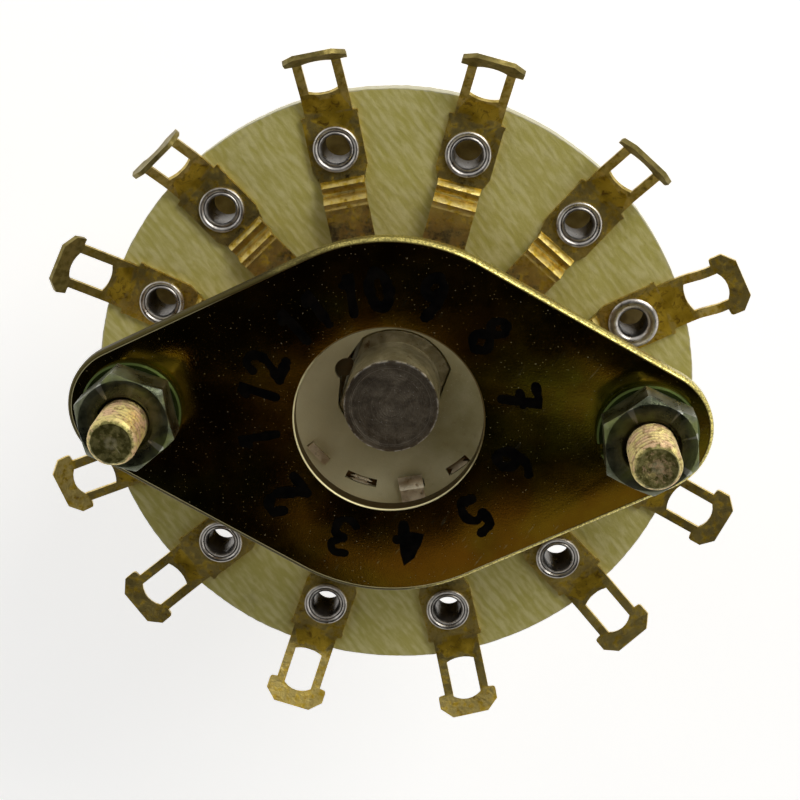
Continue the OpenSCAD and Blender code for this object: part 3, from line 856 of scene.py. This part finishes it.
def bent_tail(s, bends):
    """Point of the tail at arc length s, for bends given as (start, length, turn)."""
    x, z, heading, done = 0.0, 0.0, 0.0, 0.0
    for start, length, turn in bends:
        run = min(s, start) - done
        x += cos(heading) * run
        z += sin(heading) * run
        done += run
        if s <= start:
            return x, z
        part = min(s - start, length)
        pieces = 8
        for _ in range(pieces):
            heading += turn * part / length / pieces / 2
            x += cos(heading) * part / pieces
            z += sin(heading) * part / pieces
            heading += turn * part / length / pieces / 2
        done += part
        if s <= start + length:
            return x, z
    return x + cos(heading) * (s - done), z + sin(heading) * (s - done)


def tail_bends(n):
    tail = radians(TAIL_BEND[n - 1])
    head = radians(HEAD_FOLD[n - 1])
    bends = [(TAIL_START - 1, 2.0, tail), (FOLD_AT - 0.12, 0.24, head)]
    if n == 7:
        kink = radians(26)
        bends = [(TAIL_START - 1, 1.7, tail - kink / 2), (SLOT_START + 0.2, 0.5, kink),
                 (SLOT_START + 1.6, 0.5, -kink), (FOLD_AT - 0.12, 0.24, head + kink / 2)]
    return bends


def strip_cuts(bends):
    """Distances along the strip at which it is cut across, so that it can bend there."""
    at = [s for s, _ in FINGER_PROFILE[1:]]
    cuts = [-s for s in at]
    cuts += [-(a + (b - a) * k / 5) for a, b in zip(at[:6], at[1:7]) for k in range(1, 5)]
    cuts += [start + length * k / 8 for start, length, _ in bends for k in range(9)]
    return cuts + [-0.6, 0.6, SLOT_START + 0.18, SLOT_START + 0.3, SLOT_START + 0.42]


def strip_wear(n, s):
    """Painted shade and painted highlight of contact n at arc length s."""
    painted_shade, bright = 0.0, 0.0
    if s < 0:
        for at, reach in RIDGES:
            bright = max(bright, RIDGE_HIGHLIGHT.get(n, RIDGE_HIGHLIGHT_LOW) * (1 - abs(-s - at) / reach))
        return painted_shade, bright
    bright = 0.6 * max(0.0, 1 - abs(s - FOLD_AT) / 0.12)
    if n >= 8 and s >= SLOT_START:
        painted_shade = 1.0 if s > FOLD_AT - 0.05 else 0.55
    if n in (2, 3, 4):
        bright = max(bright, 1 - abs(s - SLOT_START - 0.3) / 0.12)
    if n in (2, 3) and s > FOLD_AT:
        bright = 0.7
    if n == 7 and SLOT_START < s < FOLD_AT:
        bright = 0.8
    return painted_shade, bright


def contact(n, material):
    """One contact: a flat strip cut at its bend lines, bent, then given its thickness."""
    bm = bmesh.new()
    fill(bm, strip_outline(COMMON_REACH if n == COMMON else FINGER_REACH))
    bends = tail_bends(n)
    for at in strip_cuts(bends):
        bmesh.ops.bisect_plane(bm, geom=bm.verts[:] + bm.edges[:] + bm.faces[:],
                               plane_co=(at, 0, 0), plane_no=(1, 0, 0))
    layer = bm.verts.layers.float_vector.new("strip")
    warp = random.Random(n).uniform(-0.04, 0.04)
    for v in bm.verts:
        s, across = v.co.x, v.co.y
        x, z = (s, profile_height(FINGER_PROFILE, -s)) if s < 0 else bent_tail(s, bends)
        # The strip layer holds the arc length, the painted shade and the painted highlight.
        v[layer] = (s, *strip_wear(n, s))
        v.co = (x, across * (1 + 0.01 * warp), z + warp * max(0.0, s - 2) * across * 0.5)
    turn = Matrix.Rotation(radians(STRIP_TURN[n - 1]), 4, "Z")
    stand = Matrix.Translation((EYELET_R, 0, WAFER_TOP + 0.01))
    bm.transform(Matrix.Rotation(eyelet_angle(n), 4, "Z") @ stand @ turn)
    obj = place(f"lug_{n:02d}", bm, material, f"contact_{n:02d}")
    solid = obj.modifiers.new("thickness", "SOLIDIFY")
    solid.thickness = STRIP_T * MM
    solid.offset = 1
    solid.use_even_offset = True
    round_edges(obj, 0.05, 50)


def eyelet_rings(bm, n, rng):
    """Rolled eyelet: outer rim, groove, inner lip, bore, and a plain rim at the front."""
    squash = 1.0 if n == 7 else rng.uniform(0.92, 1.05)
    grime_and_shade = bm.verts.layers.float["grime_and_shade"]
    top = WAFER_TOP + STRIP_T + 0.01
    # Profile points: radius, height, and how much painted shade and grime darken them.
    shape = [(1.40, 0, 1), (1.45, 0.08, 0.8), (1.46, 0.18, 0.4), (1.42, 0.27, 0), (1.35, 0.31, 0),
             (1.27, 0.30, 0), (1.20, 0.26, 0), (1.15, 0.21, 0.3), (1.12, 0.18, 0.9), (1.09, 0.21, 0.2),
             (1.04, 0.25, 0), (0.98, 0.26, 0), (0.93, 0.20, 0), (0.90, 0.10, 0.4), (0.88, 0, 0.8)]
    if n == 7:
        shape = [(1.52, 0, 1), (1.60, 0.1, 0.5), (1.58, 0.2, 0), (1.48, 0.28, 0), (1.34, 0.31, 0),
                 (1.2, 0.31, 0), (1.08, 0.27, 0), (0.98, 0.2, 0), (0.92, 0.12, 0.3), (0.88, 0.04, 0.9)]
    rolled = [(r, top + z * squash, d) for r, z, d in shape]
    front = WAFER_LOW - 1.1
    outside = [(0.92, front), (1.02, front), (1.1, front + 0.1), (1.1, WAFER_LOW - 0.45),
               (1.36, WAFER_LOW - 0.38), (1.44, WAFER_LOW - 0.2), (1.42, WAFER_LOW - 0.05)]
    profile = rolled + [(0.88, front + 0.05, 1)] + [(r, z, 0.3) for r, z in outside]
    profile += [(1.36, WAFER_LOW, 1), (1.12, WAFER_LOW, 1), (1.12, top, 1)]
    centre = eyelet_centre(n)
    rings = [ring(bm, r, z, 44, centre) for r, z, _ in profile]
    skin(bm, rings, closed=True)
    lean = Vector((rng.uniform(-1, 1), rng.uniform(-1, 1), 0)) * 0.012
    for verts, (_, _, darkening) in zip(rings, profile):
        for v in verts:
            v[grime_and_shade] = darkening
            if v.co.z > WAFER_TOP:
                v.co.z += lean.dot(v.co - Vector((*centre, 0)))


def eyelets(material):
    rng = random.Random(9)
    bm = bmesh.new()
    bm.verts.layers.float.new("grime_and_shade")
    for n in CONTACTS:
        eyelet_rings(bm, n, rng)
    face_out(bm)
    place("eyelets_rolled", bm, material, "eyelets")


# ---- Screws, nuts, washers ----

def tie_screw(side, material):
    """Countersunk screw with a rolled thread at its rear end."""
    x = side * SCREW_X
    bm = bmesh.new()
    thread_low = PLATE_LOW - 6
    core = SCREW_R - 0.16
    end_r = 1.2

    def cap(z):
        return min(end_r + (SCREW_END - z) * 1.05, core + (z - thread_low) * 1.5)

    depth = 0.26 if side > 0 else 0.12
    helix(bm, SCREW_R, depth, THREAD_PITCH, thread_low, SCREW_END, cap, 56, (x, 0))
    lathe(bm, [(0, 0.35), (0.35, 0.35), (0.4, 0.02), (2.4, 0.0), (2.6, 0.12), (SCREW_R, 1.1),
               (SCREW_R - 0.08, 1.3), (SCREW_R - 0.08, thread_low - 0.3), (core, thread_low)],
          56, (x, 0))
    dish = 0.12 if side > 0 else 0.02
    lathe(bm, [(end_r, SCREW_END), (1.0, SCREW_END - dish * 0.3), (0.6, SCREW_END - dish),
               (0.25, SCREW_END - dish * 1.1), (0, SCREW_END - dish * 1.1)], 56, (x, 0))
    weld(bm)
    name = "right" if side > 0 else "left"
    place(f"screw_{name}", bm, material, f"tie_screw_{name}")


def hex_nut(name, centre, z_low, z_top, across, bore, turn, material, node, both=False):
    """Hexagon nut whose corners are turned off to a cone, with a countersunk, threaded bore."""
    segments = 144
    half = across / 2
    turn = radians(turn)

    def hexagon(a):
        third = TAU / 6
        return half / cos((a - turn) % third - third / 2)

    def shoulder(a):
        return z_top - 0.04 - max(0, hexagon(a) - half) * tan(radians(34))

    def foot(a):
        return z_low + (0.05 + (hexagon(a) - half * 0.97) * tan(radians(32)) if both else 0.04)

    bm = bmesh.new()
    count = max(4, int((z_top - z_low) / THREAD_PITCH * 2))
    inside = []
    for k in range(count + 1):
        z = z_top - 0.35 - (z_top - z_low - 0.7) * k / count
        inside.append((bore - 0.02 - (0.12 if k % 2 else 0), z))
    upper = [(half * 0.992, z_top - 0.01), (half * 0.98, z_top), (bore + 0.32, z_top),
             (bore + 0.26, z_top - 0.03)]
    outside = [(lambda a: hexagon(a) - 0.05, z_low), (hexagon, foot),
               (hexagon, lambda a: shoulder(a) - 0.03), (lambda a: hexagon(a) - 0.02, shoulder)]
    lathe(bm, outside + upper + inside + [(bore + 0.3, z_low)], segments, centre, closed=True)
    face_out(bm)
    place(name, bm, material, node)


def spring_washer(name, x, turn, material, node):
    """Split ring of square section with its corners cut off."""
    z_low, z_top = low(node).z, high(node).z
    inner, outer, edge = 1.62, 3.1, 0.12
    section = [(inner + edge, z_low), (outer - edge, z_low), (outer, z_low + edge),
               (outer, z_top - edge), (outer - edge, z_top), (inner + edge, z_top),
               (inner, z_top - edge), (inner, z_low + edge)]
    bm = bmesh.new()
    gap, steps = 0.12, 72
    rings = []
    for i in range(steps + 1):
        a = radians(turn) + gap + (TAU - 2 * gap) * i / steps
        rings.append([polar(bm, r, a, z, (x, 0)) for r, z in section])
    skin(bm, rings)
    bm.faces.new(rings[0])
    bm.faces.new(rings[-1])
    face_out(bm)
    place(name, bm, material, node)


# ---- Rotor and shaft ----

def drive_hole():
    """Outline of the two-flat hole, with the round marking notch in its left flat."""
    gap, notch_x, notch_r = 0.045, 3.25, 0.8
    r, flat = DRIVE_R + gap, DRIVE_FLAT + gap
    opening = degrees(acos(flat / r))
    bite = degrees(acos((flat - notch_x) / notch_r))
    points = arc(0, 0, r, opening, 180 - opening, 24)
    points += arc(-notch_x, 0, notch_r, bite, 360 - bite, 14)
    points += arc(0, 0, r, 180 + opening, 360 - opening, 24)
    turn = Matrix.Rotation(FLAT_TURN, 2)
    return [tuple(turn @ Vector(p)) for p in points]


# Slots of the rotor disc for the blade's tabs: angle and length, on a circle of this radius
TAB_SLOT_R = 6.8
TAB_SLOTS = {224.5: 1.7, 253: 2.1, 281.5: 1.7, 310: 1.7, 45: 1.6, 135: 1.6}


def tab_slot(angle, length):
    """Tangential slot for a tab of the blade."""
    half = degrees(length / 2 / TAB_SLOT_R)
    outer = arc(0, 0, TAB_SLOT_R + 0.25, angle - half, angle + half, 6)
    return outer + arc(0, 0, TAB_SLOT_R - 0.3, angle + half, angle - half, 6)


def rotor_disc(material):
    loops = [circle(0, 0, ROTOR_R, 96), drive_hole()]
    loops += [tab_slot(angle, length) for angle, length in TAB_SLOTS.items()]
    bm = cut_sheet(loops, ROTOR_LOW, ROTOR_TOP, [0.08, 0.05, 0.04])
    # Bottom of the marking notch
    spot = Matrix.Rotation(FLAT_TURN, 2) @ Vector((-3.6, 0))
    lathe(bm, [(0, ROTOR_TOP - 0.7), (0.75, ROTOR_TOP - 0.7)], 24, spot)
    place("rotor_moulding", bm, material, "rotor_disc", body="rotor")


def tab_plate(bm, angle, r_in, r_out, width, z_in, z_out, thick, curl=0.0, ragged=0.0):
    """Bent tab lying along a radius: heights at both ends, a curl in the middle, a torn edge."""
    rng = random.Random(int(angle * 10))
    rows = 8
    turn = Matrix.Rotation(radians(angle), 4, "Z")
    rings = []
    for i in range(rows + 1):
        t = i / rows
        r = r_in + (r_out - r_in) * t
        z = z_in + (z_out - z_in) * t + curl * sin(pi * t)
        half = width / 2 * (1 - ragged * rng.random())
        corners = [(-half, z), (half, z), (half, z + thick), (-half, z + thick)]
        rings.append([bm.verts.new(turn @ Vector((r, y, h))) for y, h in corners])
    skin(bm, rings)
    bm.faces.new(rings[0])
    bm.faces.new(rings[-1])


def rotor_blade(material):
    """Ring and tongue on the rear face, and the tabs that hold them, each bent in its own way."""
    top, thick = ROTOR_TOP, 0.28
    tongue_angle, tongue_r, half_tongue = 345, 11.3, 1.5
    ring_in, ring_out = 8.05, 9.3
    spread = degrees(asin(half_tongue / ring_out))
    outline = arc(0, 0, ring_out, tongue_angle + spread, tongue_angle - spread + 360, 90)
    turn = Matrix.Rotation(radians(tongue_angle), 2)
    tip = [(tongue_r - 0.4, -half_tongue), (tongue_r, 0.4 - half_tongue),
           (tongue_r, half_tongue - 0.4), (tongue_r - 0.4, half_tongue)]
    outline += [tuple(turn @ Vector(p)) for p in tip]
    bm = cut_sheet([outline, circle(0, 0, ring_in, 96)], top, top + thick, [0.05])
    for tab in ((224.5, 6.45, 7.0, 1.6, top - 0.5, top - 0.5, 0.8),
                (253, 6.5, 7.0, 1.9, top - 0.45, top - 0.3, 0.24, 0.1, 0.6),
                (253, 6.45, 7.1, 2.2, top - 0.6, top - 0.6, 0.2),
                (281.5, 6.1, 7.05, 1.6, top + 0.12, top + 0.06, 0.22, 0.1),
                (281.5, 6.88, 8.1, 1.55, top + 0.02, top, 0.26, 0.03),
                (310, 6.5, 7.0, 1.5, top - 0.5, top - 0.26, 0.24, 0.0, 0.5),
                (310, 6.45, 7.1, 1.8, top - 0.6, top - 0.6, 0.2),
                (45, 6.55, 8.1, 1.4, top, top, 0.25), (135, 6.55, 8.1, 1.4, top, top, 0.25)):
        tab_plate(bm, *tab)
    face_out(bm)
    place("blade_formed", bm, material, "rotor_blade", body="rotor")


def shaft(material):
    """Shaft in one piece: round rear end, two-flat drive part, groove for the clip, knob end."""
    segments = 120
    drive_low, drive_top = 2.4, WAFER_TOP + 0.1
    groove_top = low("shaft_clip").z + 0.65
    groove_r, groove = 2.4, 0.7
    rng = random.Random(2)
    nicks = [rng.uniform(0, 0.035) for _ in range(segments)]

    def chipped(a):
        return SHAFT_R - 0.02 - nicks[round(a / TAU * segments) % segments]

    def drive(a):
        return min(DRIVE_R, DRIVE_FLAT / max(0.01, abs(cos(a - FLAT_TURN))))

    def drive_inner(a):
        return drive(a) - 0.1

    bm = bmesh.new()
    end = SHAFT_END
    steps = [(0, end - 0.03), (0.25, end - 0.03), (0.32, end - 0.01), (1.2, end), (2.3, end - 0.005),
             (2.36, end - 0.02), (2.42, end - 0.005), (2.5, end - 0.02), (2.56, end), (2.8, end - 0.01)]
    steps += [(chipped, end - 0.06), (SHAFT_R, end - 0.2), (SHAFT_R, drive_top),
              (drive_inner, drive_top), (drive, drive_top - 0.1), (drive, drive_low + 0.1),
              (drive_inner, drive_low), (SHAFT_R, drive_low), (SHAFT_R, groove_top),
              (groove_r, groove_top), (groove_r, groove_top - groove),
              (SHAFT_R, groove_top - groove), (SHAFT_R, SHAFT_TIP + 0.4),
              (SHAFT_R - 0.3, SHAFT_TIP + 0.05), (SHAFT_R - 0.45, SHAFT_TIP), (0, SHAFT_TIP)]
    lathe(bm, steps, segments)
    face_out(bm)
    obj = place("shaft_turned", bm, material, "shaft", body="rotor")
    round_edges(obj, 0.03, 50)


# ---- Panel fixing ----

def bushing(material):
    """Threaded bushing with its flange; M10 x 0.75."""
    z_low, z_top = low("bushing").z, high("bushing").z
    r, pitch, depth, bore, spigot, flange = 5.0, 0.75, 0.42, 3.06, 4.8, 6.4
    tip_r = 4.45
    plate = high("front_plate").z
    bm = bmesh.new()

    def cap(z):
        return min(tip_r + z - z_low, spigot + max(0.0, -0.35 - z) * 1.2)

    helix(bm, r, depth, pitch, z_low, 0, cap, 96)
    lathe(bm, [(tip_r, z_low), (bore + 0.25, z_low), (bore, z_low + 0.25), (bore, z_top - 0.2),
               (bore + 0.2, z_top), (flange - 0.15, z_top), (flange, z_top - 0.15),
               (flange, plate + 0.01), (spigot, plate + 0.01), (spigot, 0)], 96)
    weld(bm)
    place("bushing_threaded", bm, material, "bushing")


# ---- CAD nodes ----

def dress(node, material, edge):
    """Gives a CAD node its material, and fine rounded edges unless edge is 0."""
    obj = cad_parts[node]
    obj.data.materials.clear()
    obj.data.materials.append(material)
    joined = obj.modifiers.new("joined", "WELD")
    joined.merge_threshold = 1e-6
    if edge:
        round_edges(obj, edge)


# ---- Floor, light, camera ----

def floor_look():
    look = Look("pale_floor", Roughness=0.6, Emission_Color=(1, 1, 1), Emission_Strength=0.55)
    tone = look.spots((40, 3), 0.3, 0.7)
    look.set(Base_Color=look.mix(tone, (0.90, 0.90, 0.895), (0.93, 0.93, 0.925)))
    return look.material


def floor():
    half, z = 3000 * MM, (SHAFT_TIP - 1.5) * MM
    mesh = bpy.data.meshes.new("floor")
    mesh.from_pydata([(-half, -half, z), (half, -half, z), (half, half, z), (-half, half, z)], [],
                     [(0, 1, 2, 3)])
    mesh.materials.append(floor_look())
    obj = add("floor", mesh)


def softbox(name, place_mm, size_mm, radiance, colour):
    light = bpy.data.lights.new(name, "AREA")
    light.shape = "RECTANGLE"
    light.size, light.size_y = size_mm[0] * MM, size_mm[1] * MM
    light.energy = radiance * pi * light.size * light.size_y
    light.color = colour
    obj = add(name, light)
    obj.location = Vector(place_mm) * MM
    aim = Vector((0, 0, 15)) * MM
    obj.rotation_euler = (aim - obj.location).to_track_quat("-Z", "Y").to_euler()


def surroundings():
    """Soft room: bright round the horizon, dark straight overhead."""
    world = bpy.data.worlds.new("room")
    scene.world = world
    world.use_nodes = True
    room = Graph(world.node_tree)
    around = room.node("ShaderNodeTexCoord").outputs["Generated"]
    overhead = room.vector("DOT_PRODUCT", around, Vector((-0.06, -0.14, 1)).normalized())
    dark_edge, dark_core = cos(radians(64)), cos(radians(28))
    background = room.tree.nodes["Background"]
    room.link(room.span(overhead, dark_edge, dark_core, 0.7, 0.001), background.inputs["Strength"])
    room.link((1.0, 0.99, 0.97), background.inputs["Color"])


def lights():
    softbox("key", (230, 290, 270), (230, 160), 6.0, (1.0, 0.98, 0.94))
    softbox("left", (-330, 160, 240), (160, 160), 0.9, (0.95, 0.98, 1.0))
    softbox("right", (380, -60, 180), (160, 160), 0.8, (1.0, 0.98, 0.95))
    softbox("low_card", (62, -160, 330), (180, 90), 0.17, (1.0, 0.84, 0.52))


def camera():
    """The view of the photo; lens, place and direction were fitted to the object's features."""
    data = bpy.data.cameras.new("camera")
    data.sensor_width = 36
    data.lens = 79.56
    data.clip_start = 10 * MM
    obj = add("camera", data)
    forward = Vector((-0.0334, -0.2977, -0.9541)).normalized()
    right = Vector((0.9984, 0.0328, -0.0452))
    up = right.cross(forward).normalized()
    right = forward.cross(up)
    turn = Matrix((right, up, -forward)).transposed()
    obj.matrix_world = Matrix.Translation(Vector((4.24, 33.35, 126.13)) * MM) @ turn.to_4x4()
    scene.camera = obj


# ---- Scene ----

chromate = chromate_look()
brass = brass_look()
dark_zinc = dark_zinc_look()
nickel = nickel_look()
blade = blade_look()
spring_steel = steel_look("spring_steel", (0.30, 0.30, 0.30), (0.55, 0.55, 0.54), 0.25)

rear_plate(chromate)
numerals(ink_look())
wafer(laminate_look())
for number in CONTACTS:
    contact(number, brass)
eyelets(tin_look())
screw_material = screw_look()
washer_material = washer_look()
for way, label, hex_turn, split in ((-1, "left", 43, 250), (1, "right", 37, 200)):
    tie_screw(way, screw_material)
    hex_nut(f"hex_nut_{label}", (way * SCREW_X, 0), NUT_LOW, NUT_TOP, NUT_AF, SCREW_R, hex_turn,
            dark_zinc, f"nut_{label}")
    spring_washer(f"split_washer_{label}", way * SCREW_X, split, washer_material,
                  f"lock_washer_{label}")
rotor_disc(ivory_look())
rotor_blade(blade)
shaft(shaft_look())
bushing(nickel)
hex_nut("hex_nut_panel", (0, 0), low("panel_nut").z, high("panel_nut").z, 14, 5.05, 0, nickel,
        "panel_nut", both=True)

bright_zinc = steel_look("bright_zinc", (0.40, 0.40, 0.41), (0.68, 0.68, 0.69), 0.22)
dress("front_plate", chromate, 0.15)
dress("cover_plate", cover_look(), 0.15)
dress("index_housing", bakelite_look(), 0.2)
dress("detent_wheel", laminate_wheel_look(), 0.08)
dress("rotor_ring", blade, 0.05)
dress("panel_washer", bright_zinc, 0.08)
dress("shaft_clip", spring_steel, 0.06)
sleeve_steel = steel_look("drawn_tube", (0.38, 0.37, 0.32), (0.60, 0.58, 0.50), 0.28)
for label in ("left", "right"):
    dress(f"front_spacer_{label}", sleeve_steel, 0.12)
    dress(f"rear_spacer_{label}", sleeve_steel, 0.12)
ball_steel = steel_look("ball_steel", (0.60, 0.60, 0.61), (0.78, 0.78, 0.79), 0.08)
for label in ("lower", "upper"):
    dress(f"detent_ball_{label}", ball_steel, 0)
    dress(f"detent_spring_{label}", spring_steel, 0)

floor()
surroundings()
lights()
camera()
scene.view_settings.view_transform = "Standard"
